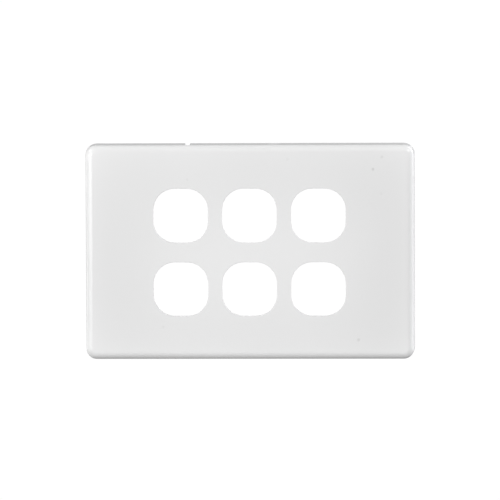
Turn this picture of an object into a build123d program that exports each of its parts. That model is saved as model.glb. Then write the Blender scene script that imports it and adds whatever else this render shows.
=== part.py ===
"""A moulded cover plate for wall switches: a shallow drafted shell with rounded-square openings."""

import os
from math import radians, tan

from build123d import *

# The origin is the middle of the rear rim, on the wall. +X runs along the plate, +Z is up and the face
# looks along -Y. Heights are measured from the wall towards the face.

# Shell
plate_width = 116.0
plate_height = 76.0
plate_depth = 9.0
corner_radius = 4.0
flat_corner_radius = 0.5
crown_drop = 0.15
edge_radius = 2.4
skirt_draft = 3.0
face_wall = 2.0
skirt_wall = 1.8
inner_edge_radius = 0.8

# Openings for the switch mechanisms, and the bars that are left between them
opening_columns = 3
opening_rows = 2
opening_width = 19.1
opening_height = 18.9
opening_corner_radius = 7.5
opening_draft = 3.0
opening_lip = 0.1
upright_bar = 5.05
cross_bar = 6.95

# Stiffening on the back of the face
collar_wall = 1.2
collar_height = 1.6
rib_thickness = 1.0
rib_height = 1.2

# Clip tongues near the corners, whose barbs grip the edge of the grid on the wall
tongue_width = 10.0
tongue_thickness = 1.4
tongue_side_gap = 2.4
tongue_end_gap = 8.0
tongue_rim_gap = 0.8
tongue_root_radius = 0.5
barb_reach = 0.6
barb_lead = 1.4
barb_catch = 0.6

# Slot in the top of the skirt, for the blade that levers the plate off
slot_offset = -21.9
slot_width = 1.8
slot_reach = 7.0
slot_corner_radius = 0.4


def lean_at(height):
    """How far the drafted skirt has leaned in at a height."""
    return height * tan(radians(skirt_draft))


half_width = plate_width / 2
half_height = plate_height / 2
crown_width = corner_radius - flat_corner_radius
crown_foot = plate_depth - crown_drop
face_back = plate_depth - face_wall
face_middle = plate_depth - face_wall / 2
inner_half_width = half_width - lean_at(face_back) - skirt_wall
inner_half_height = half_height - lean_at(face_back) - skirt_wall
column_pitch = opening_width + upright_bar
row_pitch = opening_height + cross_bar
opening_places = GridLocations(column_pitch, row_pitch, opening_columns, opening_rows)

# Flat of the face: the outline that the crowned edge runs round
with BuildSketch(Plane.XZ) as face_flat:
    RectangleRounded(plate_width - 2 * crown_width, plate_height - 2 * crown_width, flat_corner_radius)

# Hollow behind the face, open at the wall, leaning as the skirt does
with BuildPart() as hollow:
    with BuildSketch(Plane.XZ):
        RectangleRounded(
            plate_width - 2 * skirt_wall,
            plate_height - 2 * skirt_wall,
            corner_radius - skirt_wall,
        )
    extrude(amount=face_back, taper=skirt_draft)
    fillet(hollow.faces().sort_by(Axis.Y).first.edges(), inner_edge_radius)

with BuildPart() as switch_plate:
    # Edge section, swept round the flat: drafted skirt, rounded edge and a crown that runs out on the flat
    with BuildSketch(Plane.YZ) as edge_section:
        flat_top = (-plate_depth, half_height - crown_width)
        flat_foot = (0, half_height - crown_width)
        rim_foot = (0, half_height)
        crown_end = (-crown_foot, half_height - lean_at(crown_foot))
        with BuildLine():
            TangentArc(flat_top, crown_end, tangent=(0, 1))
            Polyline(crown_end, rim_foot, flat_foot, flat_top)
        make_face()
        fillet(edge_section.vertices().sort_by_distance(crown_end).first, edge_radius)
    sweep(path=face_flat.sketch.wire())
    extrude(face_flat.sketch, amount=plate_depth)
    add(hollow.part, mode=Mode.SUBTRACT)

    # Collars and ribs, rooted in the face
    with BuildSketch(Plane.XZ.offset(face_back - collar_height)):
        with opening_places:
            RectangleRounded(
                opening_width + 2 * collar_wall,
                opening_height + 2 * collar_wall,
                opening_corner_radius + collar_wall,
            )
    extrude(amount=face_middle - face_back + collar_height)
    with BuildSketch(Plane.XZ.offset(face_back - rib_height)):
        with GridLocations(column_pitch, 0, opening_columns, 1):
            Rectangle(rib_thickness, 2 * inner_half_height + skirt_wall)
        with GridLocations(0, row_pitch, 1, opening_rows):
            Rectangle(2 * inner_half_width + skirt_wall, rib_thickness)
    extrude(amount=face_middle - face_back + rib_height)

    # Openings, true to size at the face and widening towards the wall, with their edges broken at the face
    with BuildSketch(Plane.XZ.offset(plate_depth)):
        with opening_places:
            RectangleRounded(opening_width, opening_height, opening_corner_radius)
    extrude(amount=-plate_depth, taper=-opening_draft, mode=Mode.SUBTRACT)
    face = switch_plate.faces().sort_by(Axis.Y).first
    chamfer([edge for wire in face.inner_wires() for edge in wire.edges()], opening_lip)

    # Clip tongues
    outer_x = inner_half_width - tongue_side_gap
    inner_x = outer_x - tongue_thickness
    root_reach = 2 * tongue_root_radius
    barb_tip = tongue_rim_gap + barb_lead
    low_z = inner_half_height - tongue_end_gap - tongue_width
    for side in (-1, 1):
        for foot_z in (-low_z - tongue_width, low_z):
            with BuildSketch(Plane.XY.offset(foot_z)) as tongue_section:
                roots = ((side * outer_x, -face_back), (side * inner_x, -face_back))
                with BuildLine():
                    Polyline(
                        (side * (outer_x + root_reach), -face_middle),
                        (side * (outer_x + root_reach), -face_back),
                        roots[0],
                        (side * outer_x, -tongue_rim_gap),
                        (side * inner_x, -tongue_rim_gap),
                        (side * (inner_x - barb_reach), -barb_tip),
                        (side * inner_x, -barb_tip - barb_catch),
                        roots[1],
                        (side * (inner_x - root_reach), -face_back),
                        (side * (inner_x - root_reach), -face_middle),
                        close=True,
                    )
                make_face()
                for root in roots:
                    fillet(tongue_section.vertices().sort_by_distance(root).first, tongue_root_radius)
            extrude(amount=tongue_width)

    # Lever slot, open at the rim
    with BuildSketch(Plane.XY.offset(half_height)):
        with Locations((slot_offset, 0)):
            RectangleRounded(slot_width, 2 * slot_reach, slot_corner_radius)
    extrude(amount=-(half_height - inner_half_height), mode=Mode.SUBTRACT)

switch_plate.part.label = "switch_plate"

os.makedirs("parts", exist_ok=True)
export_step(switch_plate.part, "parts/switch_plate.step")
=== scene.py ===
from math import cos, pi, radians, sin

import bpy
from mathutils import Matrix, Vector


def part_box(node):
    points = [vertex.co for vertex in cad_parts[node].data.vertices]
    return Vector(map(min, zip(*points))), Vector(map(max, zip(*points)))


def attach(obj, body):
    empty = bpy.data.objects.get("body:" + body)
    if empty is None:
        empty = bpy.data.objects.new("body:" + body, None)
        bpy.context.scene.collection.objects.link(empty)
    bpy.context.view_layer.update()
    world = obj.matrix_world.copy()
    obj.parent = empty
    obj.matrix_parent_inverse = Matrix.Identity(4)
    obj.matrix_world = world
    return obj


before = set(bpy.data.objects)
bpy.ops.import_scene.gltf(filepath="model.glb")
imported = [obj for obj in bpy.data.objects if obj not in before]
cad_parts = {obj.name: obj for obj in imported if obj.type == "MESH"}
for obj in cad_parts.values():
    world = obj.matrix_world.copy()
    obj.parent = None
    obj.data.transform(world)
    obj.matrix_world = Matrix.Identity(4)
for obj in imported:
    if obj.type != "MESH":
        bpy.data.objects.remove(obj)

scene = bpy.context.scene
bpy.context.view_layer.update()  # the CAD box, before anything is added
mm = 0.001
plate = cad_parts["switch_plate"]
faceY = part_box("switch_plate")[0][1]  # the plate's face looks along -Y
print("frame:", len(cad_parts), "node, face at", round(faceY / mm, 2), "mm")


def linearColour(hexColour):
    # sRGB hex to the linear values that shaders take
    parts = [int(hexColour[i:i + 2], 16) / 255 for i in (1, 3, 5)]
    return [p / 12.92 if p <= 0.04045 else ((p + 0.055) / 1.055) ** 2.4 for p in parts] + [1.0]


def addNode(tree, kind, inputs=None, output=0, **settings):
    # inputs, by name or place, are values or other nodes' outputs to link from; gives back one output
    # a Mix node takes numbers at 2 and 3 and colours at 6 and 7, and gives a colour at 2
    node = tree.nodes.new(kind)
    for name, value in settings.items():
        setattr(node, name, value)
    for name, value in (inputs or {}).items():
        if isinstance(value, bpy.types.NodeSocket):
            tree.links.new(value, node.inputs[name])
        else:
            node.inputs[name].default_value = value
    return node.outputs[output] if node.outputs else None


def newMaterial(name):
    material = bpy.data.materials.new(name)
    material.use_nodes = True
    material.node_tree.nodes.clear()
    return material, material.node_tree


# White polycarbonate, injection moulded: glossy with a faint orange peel where the mould is polished, and
# satin on the back, where the mould is spark-eroded; the back is also painted paler, as painted light.
# The face is painted paler in the middle and along the edge, a painted glow for light that leaks in
polycarbonate = {
    "deep": "#E2E2E2",
    "lit": "#EFEFEF",
    # painted glow: how strong it is in the middle, where it sits and how far it reaches, then along the edge
    "middleStrength": 1.0,
    "middleAt": (1.0 * mm, 0, -3.4 * mm),
    "middleReach": (42.5 * mm, 1, 35 * mm),  # across and up, to where a third is left; depth plays no part
    "edgeStrength": 0.52,
    "edgeReach": 8.7 * mm,
    "outlineInset": 3.5 * mm,  # from the outline to the flat of the face
    "noises": {  # spacing, then how many times it is broken up finer
        "flow": (26 * mm, 3.0),
        "smudge": (14 * mm, 2.0),
        "rub": (4 * mm, 4.0),
        "peel": (1.6 * mm, 1.0),
        "grain": (0.7 * mm, 2.0),  # the eroded grain is about 0.1 mm, drawn coarser so that it shows
    },
    "noiseMiddle": 0.5,
    "flowStrength": 0.2,  # streaks where the melt ran together
    "faceRoughness": 0.235,
    "smudgeRoughness": 0.02,  # where it has been handled
    "rubRoughness": 0.015,  # along the rounded edge
    "rubInset": (3.4 * mm, 0.6 * mm),  # inwards from the outline, where it begins and where it is full
    "backPaintedLight": "#F6F6F5",  # painted light: paler so that the back reads lit; its satin shows in the roughness
    "backRoughness": 0.46,
    "backInset": (1.4 * mm, 0.8 * mm),  # inside the skirt's wall, where it is full and where it begins
    "backDepth": (1.75 * mm, 1.95 * mm),  # from the face to just short of its back
    "ior": 1.585,
    "peelHeight": 0.002 * mm,
    "grainHeight": 0.008 * mm,
    "topMarkPale": "#FAFAFA",  # a paler patch on top of the skirt
    "topMarkAt": 8.4 * mm,  # to the right of the middle
    "topMarkHalfWidth": (0.7 * mm, 2.3 * mm),  # where it is full and where it is gone
    "topMarkReach": (6.0 * mm, 8.0 * mm),  # forwards from the rim, likewise
    "topMarkInset": (0.8 * mm, 1.4 * mm),  # down from the outline, likewise
    "burnt": "#D5D5D4",  # specks of burnt resin, seen through the white that covers them
    "speckRadius": 0.85 * mm,
    "speckUneven": 0.5 * mm,
    "specks": [  # to the right and up from the middle, then how dark
        (43.35 * mm, 29.05 * mm, 1.0), (46.4 * mm, 33.45 * mm, 0.5), (38.15 * mm, -30.8 * mm, 0.7),
        (-30.5 * mm, -26.2 * mm, 0.3), (13.3 * mm, 32.7 * mm, 0.2), (-21.8 * mm, 25.6 * mm, 0.2),
        (46.1 * mm, 20.6 * mm, 0.2),
    ],
}


def finishZones(tree, look, place, across, up, box):
    # where finish or colour differs, 0 to 1 by soft steps: the rounded edge, the painted paler back, the pale
    # mark
    right, depth, high = addNode(tree, "ShaderNodeSeparateXYZ", {0: place}).node.outputs
    fromTopMark = addNode(tree, "ShaderNodeMath", {0: right, 1: look["topMarkAt"]}, operation="SUBTRACT")
    topMarkSide = addNode(tree, "ShaderNodeMath", {0: fromTopMark}, operation="ABSOLUTE")
    front, halfWidth, halfHeight = box[0][1], box[1][0], box[1][2]
    steps = {}
    for name, value, zero, one in (
        ("rubWidth", across, halfWidth - look["rubInset"][0], halfWidth - look["rubInset"][1]),
        ("rubHeight", up, halfHeight - look["rubInset"][0], halfHeight - look["rubInset"][1]),
        ("backWidth", across, halfWidth - look["backInset"][1], halfWidth - look["backInset"][0]),
        ("backHeight", up, halfHeight - look["backInset"][1], halfHeight - look["backInset"][0]),
        ("backDepth", depth, front + look["backDepth"][0], front + look["backDepth"][1]),
        ("topMarkWidth", topMarkSide, look["topMarkHalfWidth"][1], look["topMarkHalfWidth"][0]),
        ("topMarkHeight", high, halfHeight - look["topMarkInset"][1], halfHeight - look["topMarkInset"][0]),
        ("topMarkDepth", depth, -look["topMarkReach"][1], -look["topMarkReach"][0]),
    ):
        steps[name] = addNode(tree, "ShaderNodeMapRange", {"Value": value, "From Min": zero, "From Max": one},
                              interpolation_type="SMOOTHSTEP")
    edge = addNode(tree, "ShaderNodeMath", {0: steps["rubWidth"], 1: steps["rubHeight"]}, operation="MAXIMUM")
    inside = addNode(tree, "ShaderNodeMath", {0: steps["backWidth"], 1: steps["backHeight"]},
                     operation="MULTIPLY")
    back = addNode(tree, "ShaderNodeMath", {0: inside, 1: steps["backDepth"]}, operation="MULTIPLY")
    topMark = addNode(tree, "ShaderNodeMath", {0: steps["topMarkWidth"], 1: steps["topMarkHeight"]},
                   operation="MULTIPLY")
    topMark = addNode(tree, "ShaderNodeMath", {0: topMark, 1: steps["topMarkDepth"]}, operation="MULTIPLY")
    return edge, back, topMark


def streaksAndPaintedGlow(tree, look, place, across, up, box, flow):
    # a painted glow in the middle, whose top is flatter across than up
    offset = addNode(tree, "ShaderNodeVectorMath", {0: place, 1: look["middleAt"]}, operation="SUBTRACT")
    share = addNode(tree, "ShaderNodeVectorMath", {0: offset, 1: look["middleReach"]}, operation="DIVIDE")
    square = addNode(tree, "ShaderNodeVectorMath", {0: share, 1: share}, operation="MULTIPLY")
    squareX, _, squareZ = addNode(tree, "ShaderNodeSeparateXYZ", {0: square}).node.outputs
    spread = addNode(tree, "ShaderNodeMath", {0: squareX, 1: squareX, 2: squareZ}, operation="MULTIPLY_ADD")
    fall = addNode(tree, "ShaderNodeMath", {0: spread, 1: -1.0}, operation="MULTIPLY")
    middle = addNode(tree, "ShaderNodeMath", {0: fall}, operation="EXPONENT")

    # streaks that lighten as much as they darken, the painted middle glow, then one inwards from each side
    evenOut = -look["flowStrength"] * look["noiseMiddle"]
    streaksAndGlow = addNode(tree, "ShaderNodeMath", {0: flow, 1: look["flowStrength"], 2: evenOut},
                    operation="MULTIPLY_ADD")
    streaksAndGlow = addNode(tree, "ShaderNodeMath", {0: middle, 1: look["middleStrength"], 2: streaksAndGlow},
                    operation="MULTIPLY_ADD")
    for value, half in ((across, box[1][0]), (up, box[1][2])):
        past = addNode(tree, "ShaderNodeMath", {0: value, 1: half - look["outlineInset"]},
                       operation="SUBTRACT")
        inwards = addNode(tree, "ShaderNodeMath", {0: past, 1: 0.0}, operation="MINIMUM")
        fall = addNode(tree, "ShaderNodeMath", {0: inwards, 1: look["edgeReach"]}, operation="DIVIDE")
        edgeGlow = addNode(tree, "ShaderNodeMath", {0: fall}, operation="EXPONENT")
        streaksAndGlow = addNode(tree, "ShaderNodeMath", {0: edgeGlow, 1: look["edgeStrength"], 2: streaksAndGlow},
                        operation="MULTIPLY_ADD")
    return streaksAndGlow


def burntSpecks(tree, look, place, front):
    # each is dark in the middle and lost in the white at its uneven rim
    wander = addNode(tree, "ShaderNodeTexNoise", {"Vector": place, "Scale": 1 / look["speckRadius"]}, "Color")
    centred = addNode(tree, "ShaderNodeVectorMath", {0: wander, 1: [look["noiseMiddle"]] * 3},
                      operation="SUBTRACT")
    uneven = addNode(tree, "ShaderNodeVectorMath", {0: centred, 1: [look["speckUneven"]] * 3, 2: place},
                     operation="MULTIPLY_ADD")
    burnt = 0.0
    for x, z, dark in look["specks"]:
        away = addNode(tree, "ShaderNodeVectorMath", {0: uneven, 1: (x, front, z)}, "Value",
                       operation="DISTANCE")
        core = addNode(tree, "ShaderNodeMapRange",
                       {"Value": away, "From Min": look["speckRadius"], "From Max": 0.0, "To Max": dark},
                       interpolation_type="SMOOTHSTEP")
        burnt = addNode(tree, "ShaderNodeMath", {0: core, 1: burnt}, operation="MAXIMUM")
    return burnt


def makePolycarbonate(look, box):
    material, tree = newMaterial("whitePolycarbonate")
    place = addNode(tree, "ShaderNodeTexCoord", output="Object")

    # one quarter of the plate stands for all four
    folded = addNode(tree, "ShaderNodeVectorMath", {0: place, 1: (1, 0, 1)}, operation="MULTIPLY")
    folded = addNode(tree, "ShaderNodeVectorMath", {0: folded}, operation="ABSOLUTE")
    across, _, up = addNode(tree, "ShaderNodeSeparateXYZ", {0: folded}).node.outputs

    # noises, each at its own spacing
    patterns = {}
    for name, (spacing, detail) in look["noises"].items():
        patterns[name] = addNode(tree, "ShaderNodeTexNoise",
                                 {"Vector": place, "Scale": 1 / spacing, "Detail": detail})

    # colour: streaks and painted glow may pass the lit white, then the painted paler back, pale mark, specks
    edge, back, topMark = finishZones(tree, look, place, across, up, box)
    streaksAndGlow = streaksAndPaintedGlow(tree, look, place, across, up, box, patterns["flow"])
    burnt = burntSpecks(tree, look, place, box[0][1])
    colour = addNode(tree, "ShaderNodeMix",
                     {"Factor": streaksAndGlow, 6: linearColour(look["deep"]), 7: linearColour(look["lit"])}, 2,
                     data_type="RGBA", clamp_factor=False)
    # the back is mixed to a paler colour, painted light
    for factor, tone in ((back, "backPaintedLight"), (topMark, "topMarkPale"), (burnt, "burnt")):
        colour = addNode(tree, "ShaderNodeMix", {"Factor": factor, 6: colour, 7: linearColour(look[tone])}, 2,
                         data_type="RGBA")

    # roughness: smudges and the rub on the front, satin on the back
    rub = addNode(tree, "ShaderNodeMath", {0: edge, 1: patterns["rub"]}, operation="MULTIPLY")
    smudged = addNode(tree, "ShaderNodeMath",
                      {0: patterns["smudge"], 1: look["smudgeRoughness"], 2: look["faceRoughness"]},
                      operation="MULTIPLY_ADD")
    rubbed = addNode(tree, "ShaderNodeMath", {0: rub, 1: look["rubRoughness"], 2: smudged},
                     operation="MULTIPLY_ADD")
    roughness = addNode(tree, "ShaderNodeMix", {"Factor": back, 2: rubbed, 3: look["backRoughness"]})

    # relief in metres: orange peel on the front, eroded grain on the back
    peel = addNode(tree, "ShaderNodeMath", {0: patterns["peel"], 1: look["peelHeight"]}, operation="MULTIPLY")
    grain = addNode(tree, "ShaderNodeMath", {0: patterns["grain"], 1: look["grainHeight"]},
                    operation="MULTIPLY")
    relief = addNode(tree, "ShaderNodeMix", {"Factor": back, 2: peel, 3: grain})
    bump = addNode(tree, "ShaderNodeBump", {"Height": relief, "Distance": 1.0})

    shader = addNode(tree, "ShaderNodeBsdfPrincipled",
                     {"Base Color": colour, "Roughness": roughness, "Normal": bump, "IOR": look["ior"]})
    addNode(tree, "ShaderNodeOutputMaterial", {"Surface": shader})
    return material


plasticMaterial = makePolycarbonate(polycarbonate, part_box("switch_plate"))
for slot in plate.material_slots:
    slot.material = plasticMaterial
print("plastic:", plasticMaterial.name, "on", plate.name)


# Pieces made by Geometry Nodes
def newTree(name, sizes):
    # a tree with geometry in and out, and a named input for each size
    tree = bpy.data.node_groups.new(name, "GeometryNodeTree")
    kinds = {int: "NodeSocketInt", float: "NodeSocketFloat"}
    tree.interface.new_socket("Geometry", in_out="INPUT", socket_type="NodeSocketGeometry")
    for size, value in sizes.items():
        tree.interface.new_socket(size, in_out="INPUT", socket_type=kinds[type(value)])
    tree.interface.new_socket("Geometry", in_out="OUTPUT", socket_type="NodeSocketGeometry")
    return tree, addNode(tree, "NodeGroupInput").node.outputs


def closeTree(tree, instances, material):
    real = addNode(tree, "GeometryNodeRealizeInstances", {"Geometry": instances})
    coated = addNode(tree, "GeometryNodeSetMaterial", {"Geometry": real, "Material": material})
    addNode(tree, "NodeGroupOutput", {"Geometry": coated})


def pieceFromTree(name, tree, sizes, sharpFrom):
    # run the tree on an empty mesh and keep the result as a plain mesh that rides on the plate
    empty = bpy.data.meshes.new(name + "Maker")
    maker = bpy.data.objects.new(name + "Maker", empty)
    scene.collection.objects.link(maker)
    modifier = maker.modifiers.new(tree.name, "NODES")
    modifier.node_group = tree
    for item in tree.interface.items_tree:
        if item.in_out == "INPUT" and item.name in sizes:
            modifier[item.identifier] = sizes[item.name]
    made = maker.evaluated_get(bpy.context.evaluated_depsgraph_get())
    mesh = bpy.data.meshes.new_from_object(made)
    maker.modifiers.remove(modifier)
    bpy.data.objects.remove(maker)
    bpy.data.meshes.remove(empty)
    mesh.name = name
    mesh.shade_smooth()
    mesh.set_sharp_from_angle(angle=radians(sharpFrom))
    piece = bpy.data.objects.new(name, mesh)
    scene.collection.objects.link(piece)
    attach(piece, "root")
    print(name + ":", len(mesh.polygons), "faces")
    return piece


# Marks that the ejector pins left on the back of the face, clear of ribs, collars and tongues
ejectorMarks = {
    "faceWall": 2.0 * mm,  # from the face to its back
    "turns": 40,
    "flashTurns": 8,
    "sharpFrom": 35,  # degrees between two faces
    "pin": {"Pin radius": 2.0 * mm, "Proud": 0.12 * mm, "Flash": 0.05 * mm},
    "grids": {
        "ejectorMarksEnds": {"Columns": 2, "Rows": 3, "Across": 86.0 * mm, "Up": 57.0 * mm},
        "ejectorMarksStrips": {"Columns": 2, "Rows": 2, "Across": 24.15 * mm, "Up": 59.5 * mm},
    },
}


def makeEjectorMarks(look):
    ends = look["grids"]["ejectorMarksEnds"]
    tree, given = newTree("ejectorTree", {**look["pin"], **ends})
    quarter = radians(90)

    # where the pins stood, on the back of the face
    grid = addNode(tree, "GeometryNodeMeshGrid",
                   {"Size X": given["Across"], "Size Y": given["Up"],
                    "Vertices X": given["Columns"], "Vertices Y": given["Rows"]})
    places = addNode(tree, "GeometryNodeTransform",
                     {"Geometry": grid, "Rotation": (quarter, 0, 0),
                      "Translation": (0, faceY + look["faceWall"], 0)})

    # one mark: a flat land, half of it sunk in the face, with a bead of flash round its top
    depth = addNode(tree, "ShaderNodeMath", {0: given["Proud"], 1: 2.0}, operation="MULTIPLY")
    land = addNode(tree, "GeometryNodeMeshCylinder",
                   {"Vertices": look["turns"], "Radius": given["Pin radius"], "Depth": depth})
    rim = addNode(tree, "GeometryNodeCurvePrimitiveCircle",
                  {"Resolution": look["turns"], "Radius": given["Pin radius"]})
    bead = addNode(tree, "GeometryNodeCurvePrimitiveCircle",
                   {"Resolution": look["flashTurns"], "Radius": given["Flash"]})
    flash = addNode(tree, "GeometryNodeCurveToMesh", {"Curve": rim, "Profile Curve": bead})
    height = addNode(tree, "ShaderNodeCombineXYZ", {"Z": given["Proud"]})
    raised = addNode(tree, "GeometryNodeTransform", {"Geometry": flash, "Translation": height})
    mark = addNode(tree, "GeometryNodeJoinGeometry", {0: land})
    tree.links.new(raised, mark.node.inputs[0])
    facing = addNode(tree, "GeometryNodeTransform", {"Geometry": mark, "Rotation": (-quarter, 0, 0)})

    marks = addNode(tree, "GeometryNodeInstanceOnPoints", {"Points": places, "Instance": facing})
    closeTree(tree, marks, plasticMaterial)
    for name, sizes in look["grids"].items():
        piece = pieceFromTree(name, tree, {**look["pin"], **sizes}, look["sharpFrom"])


makeEjectorMarks(ejectorMarks)


# Floor of pale paper, well below the plate and out of the picture, fading into the backdrop; in metres
floorLook = {
    "pale": "#E8E8E6",
    "roughness": 0.7,
    "drop": 0.25,
    "radius": 1.25,
    "fade": (0.5, 1.2),  # from the middle, where it begins to fade and where it is gone
    "turns": 96,
}


def makeFloor(look):
    material, tree = newMaterial("paleFloorPaper")
    place = addNode(tree, "ShaderNodeTexCoord", output="Object")
    reach = addNode(tree, "ShaderNodeVectorMath", {0: place}, "Value", operation="LENGTH")
    faded = addNode(tree, "ShaderNodeMapRange",
                    {"Value": reach, "From Min": look["fade"][0], "From Max": look["fade"][1]},
                    interpolation_type="SMOOTHSTEP")
    paper = addNode(tree, "ShaderNodeBsdfPrincipled",
                    {"Base Color": linearColour(look["pale"]), "Roughness": look["roughness"]})
    clear = addNode(tree, "ShaderNodeBsdfTransparent")
    mixed = addNode(tree, "ShaderNodeMixShader", {0: faded, 1: paper, 2: clear})
    addNode(tree, "ShaderNodeOutputMaterial", {"Surface": mixed})
    angles = [2 * pi * i / look["turns"] for i in range(look["turns"])]
    rim = [(look["radius"] * cos(angle), look["radius"] * sin(angle), -look["drop"]) for angle in angles]
    mesh = bpy.data.meshes.new("floor")
    mesh.from_pydata(rim, [], [range(look["turns"])])
    mesh.materials.append(material)
    floor = bpy.data.objects.new("floor", mesh)
    scene.collection.objects.link(floor)
    floor.visible_diffuse = False  # its bounce would fill the dark lower edge
    floor.visible_glossy = False
    print("floor:", look["drop"], "m down,", material.name)


makeFloor(floorLook)


# Light: softboxes in a pale room whose far wall, behind the plate, is lit white
studio = {
    "ambient": (0.268, 0.335),  # from straight below and from straight above
    "farWall": "#FFFFFF",
    "farWallStrength": 1.02,  # a little over, so that it comes out pure white
    "room": "#DCDCDA",
    "farWallSpread": (20, 65),  # degrees from straight ahead: all white up to here, all room from here
    "cool": (0.965, 0.97, 1.0),
    "neutral": (1.0, 1.0, 1.0),
    "softboxes": {  # azimuth from the front, to the right; elevation; width; height in metres; watts; tint
        "leftFront": (-27, 5, 0.86, 0.46, 9.2, "neutral"),
        "leftSide": (-57, 2, 0.70, 0.46, 3.8, "neutral"),
        "leftHigh": (-64, 34, 0.80, 0.46, 5.4, "neutral"),
        "leftRear": (-106, -2, 0.60, 0.46, 2.2, "neutral"),
        "rightHigh": (50, 34, 0.90, 0.46, 7.9, "neutral"),
        "rightLow": (36, 5, 0.60, 0.40, 0.7, "neutral"),
        "rightSide": (74, 0, 0.80, 0.50, 2.4, "cool"),
        "rightRear": (104, -3, 0.60, 0.46, 2.6, "cool"),
        "rightRearMid": (112, 18, 0.55, 0.50, 7.6, "cool"),
        "rearHigh": (130, 42, 0.60, 0.50, 4.2, "cool"),
        "backRight": (150, -3, 0.60, 0.50, 1.3, "neutral"),
        "backLeft": (-150, 3, 0.60, 0.50, 0.5, "neutral"),
    },
    "distance": 1.6,
}


def directionOf(azimuth, elevation):
    turn, tilt = radians(azimuth), radians(elevation)
    return Vector((sin(turn) * cos(tilt), -cos(turn) * cos(tilt), sin(tilt)))


def makeStudio(look):
    world = bpy.data.worlds.new("studioRoom")
    scene.world = world
    world.use_nodes = True
    tree = world.node_tree
    tree.nodes.clear()
    direction = addNode(tree, "ShaderNodeTexCoord", output="Generated")
    _, ahead, up = addNode(tree, "ShaderNodeSeparateXYZ", {0: direction}).node.outputs
    near, far = (cos(radians(angle)) for angle in look["farWallSpread"])
    white = addNode(tree, "ShaderNodeMapRange", {"Value": ahead, "From Min": far, "From Max": near},
                    interpolation_type="SMOOTHSTEP")
    wall = addNode(tree, "ShaderNodeMix",
                   {"Factor": white, 6: linearColour(look["room"]), 7: linearColour(look["farWall"])}, 2,
                   data_type="RGBA")
    below, above = look["ambient"]
    level = addNode(tree, "ShaderNodeMapRange",
                    {"Value": up, "From Min": -1.0, "To Min": below, "To Max": above})
    ambient = addNode(tree, "ShaderNodeBackground", {"Color": (1, 1, 1, 1), "Strength": level})
    backdrop = addNode(tree, "ShaderNodeBackground", {"Color": wall, "Strength": look["farWallStrength"]})
    seen = addNode(tree, "ShaderNodeLightPath", output="Is Camera Ray")
    mixed = addNode(tree, "ShaderNodeMixShader", {0: seen, 1: ambient, 2: backdrop})
    addNode(tree, "ShaderNodeOutputWorld", {"Surface": mixed})
    for name, (azimuth, elevation, width, height, watts, tint) in look["softboxes"].items():
        data = bpy.data.lights.new(name, "AREA")
        data.shape = "RECTANGLE"
        data.size, data.size_y, data.energy, data.color = width, height, watts, look[tint]
        lamp = bpy.data.objects.new(name, data)
        towards = directionOf(azimuth, elevation)
        lamp.location = towards * look["distance"]
        lamp.rotation_euler = (-towards).to_track_quat("-Z", "Y").to_euler()
        lamp.visible_camera = False
        scene.collection.objects.link(lamp)


makeStudio(studio)
scene.view_settings.view_transform = "Standard"
print("studio:", len(studio["softboxes"]), "softboxes")


# Camera, a little to the right and above, aimed half way into the plate
cameraSet = {
    "azimuth": 1.9,  # degrees, as are the next two
    "elevation": 3.8,
    "roll": -0.22,
    "distance": 1.5,
    "aim": (0.0, faceY / 2, 0.55 * mm),
    "frameWidth": 175.86 * mm,  # what the picture takes in at the aim
    "sensorWidth": 36,  # in millimetres, as Blender has it
}


def makeCamera(look):
    data = bpy.data.cameras.new("camera")
    data.sensor_width = look["sensorWidth"]
    data.lens = look["sensorWidth"] * look["distance"] / look["frameWidth"]
    camera = bpy.data.objects.new("camera", data)
    back = directionOf(look["azimuth"], look["elevation"])
    camera.location = Vector(look["aim"]) + back * look["distance"]
    turn = (-back).to_track_quat("-Z", "Y").to_matrix() @ Matrix.Rotation(radians(look["roll"]), 3, "Z")
    camera.rotation_euler = turn.to_euler()
    scene.collection.objects.link(camera)
    scene.camera = camera
    print("camera:", round(data.lens, 1), "mm lens")


makeCamera(cameraSet)
